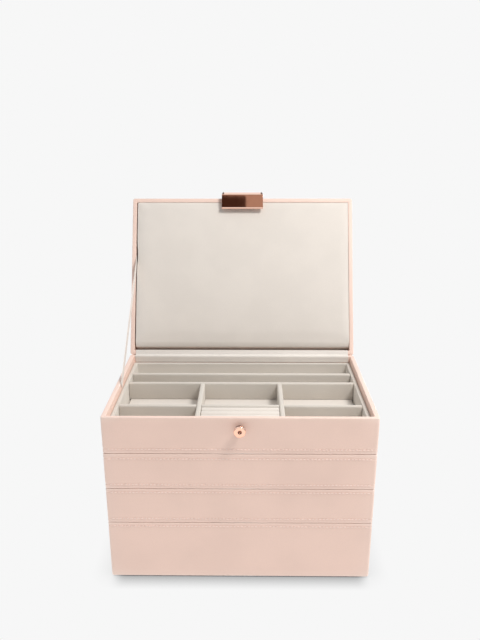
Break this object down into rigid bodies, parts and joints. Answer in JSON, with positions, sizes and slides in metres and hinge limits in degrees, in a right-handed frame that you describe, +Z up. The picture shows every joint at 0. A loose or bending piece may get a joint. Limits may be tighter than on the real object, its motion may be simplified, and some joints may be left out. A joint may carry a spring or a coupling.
{
  "type": "tiered jewelry box",
  "caption": "Stacked leather-covered jewelry box with a hinged, ribbon-stayed lid, a metal clasp over a stud, and velvet-lined lift-off trays.",
  "frame": {"origin": "middle of the base's resting face", "axes": "+Z up, -Y the front with the stud, +Y the hinge side, +X to the right seen from the front"},
  "size_m": [0.25, 0.2856, 0.3375],
  "materials": {
    "blush_leatherette": "fine-grained matt leatherette",
    "velvet": "short-pile velvet",
    "satin_ribbon": "satin",
    "felt": "felt",
    "rose_gold": "polished rose-gold plate"
  },
  "bodies": {
    "base": {"base_felt": "felt", "base_shell": "blush_leatherette", "base_liner": "velvet", "base_floor_pad": "velvet", "base_divider": "velvet"},
    "lower_tray": {"lower_tray_shell": "blush_leatherette", "lower_tray_plinth": "velvet", "lower_tray_liner": "velvet", "lower_tray_floor_pad": "velvet", "lower_tray_divider_left": "velvet", "lower_tray_divider_right": "velvet"},
    "upper_tray": {"upper_tray_shell": "blush_leatherette", "upper_tray_plinth": "velvet", "upper_tray_liner": "velvet", "upper_tray_floor_pad": "velvet", "upper_tray_cross_divider": "velvet", "upper_tray_front_divider_1": "velvet", "upper_tray_front_divider_2": "velvet", "upper_tray_front_divider_3": "velvet", "upper_tray_rear_divider_1": "velvet", "upper_tray_rear_divider_2": "velvet", "upper_tray_rear_divider_3": "velvet"},
    "top_box": {"top_box_shell": "blush_leatherette", "top_box_plinth": "velvet", "top_box_liner": "velvet", "top_box_floor_pad": "velvet", "rear_divider": "velvet", "mid_divider": "velvet", "left_divider": "velvet", "right_divider": "velvet", "front_divider_left": "velvet", "front_divider_middle": "velvet", "front_divider_right": "velvet", "ring_roll_1": "velvet", "ring_roll_2": "velvet", "ring_roll_3": "velvet", "ring_roll_4": "velvet", "clasp_stud": "rose_gold", "stud_washer": "rose_gold", "ribbon_stay": "satin_ribbon", "hinge_strip": "blush_leatherette", "hinge_lining": "velvet"},
    "lid": {"lid_shell": "blush_leatherette", "lid_backing_board": "velvet", "lid_pad": "velvet", "clasp_bracket": "rose_gold", "clasp_rivet_left": "rose_gold", "clasp_rivet_right": "rose_gold", "clasp_pin": "rose_gold"},
    "clasp": {"clasp_plate": "rose_gold"}
  },
  "joints": [
    {"name": "lower_tray_lift", "type": "slide", "parent": "base", "child": "lower_tray", "axis": [0, 0, 1], "range_m": [0, 0.08]},
    {"name": "upper_tray_lift", "type": "slide", "parent": "lower_tray", "child": "upper_tray", "axis": [0, 0, 1], "range_m": [0, 0.08]},
    {"name": "top_box_lift", "type": "slide", "parent": "upper_tray", "child": "top_box", "axis": [0, 0, 1], "range_m": [0, 0.08]},
    {"name": "lid_hinge", "type": "hinge", "parent": "top_box", "child": "lid", "pos_m": [0, 0.0904, 0.16865], "axis": [1, 0, 0], "range_deg": [0, 116.7], "deforming": ["ribbon_stay", "hinge_strip", "hinge_lining"]},
    {"name": "clasp_hinge", "type": "hinge", "parent": "lid", "child": "clasp", "pos_m": [0, 0.17138, 0.335], "axis": [1, 0, 0], "range_deg": [-90, 0]}
  ],
  "couplings": [
    {"joint": "clasp_hinge", "follows": "lid_hinge", "ratio": -0.77121}
  ]
}
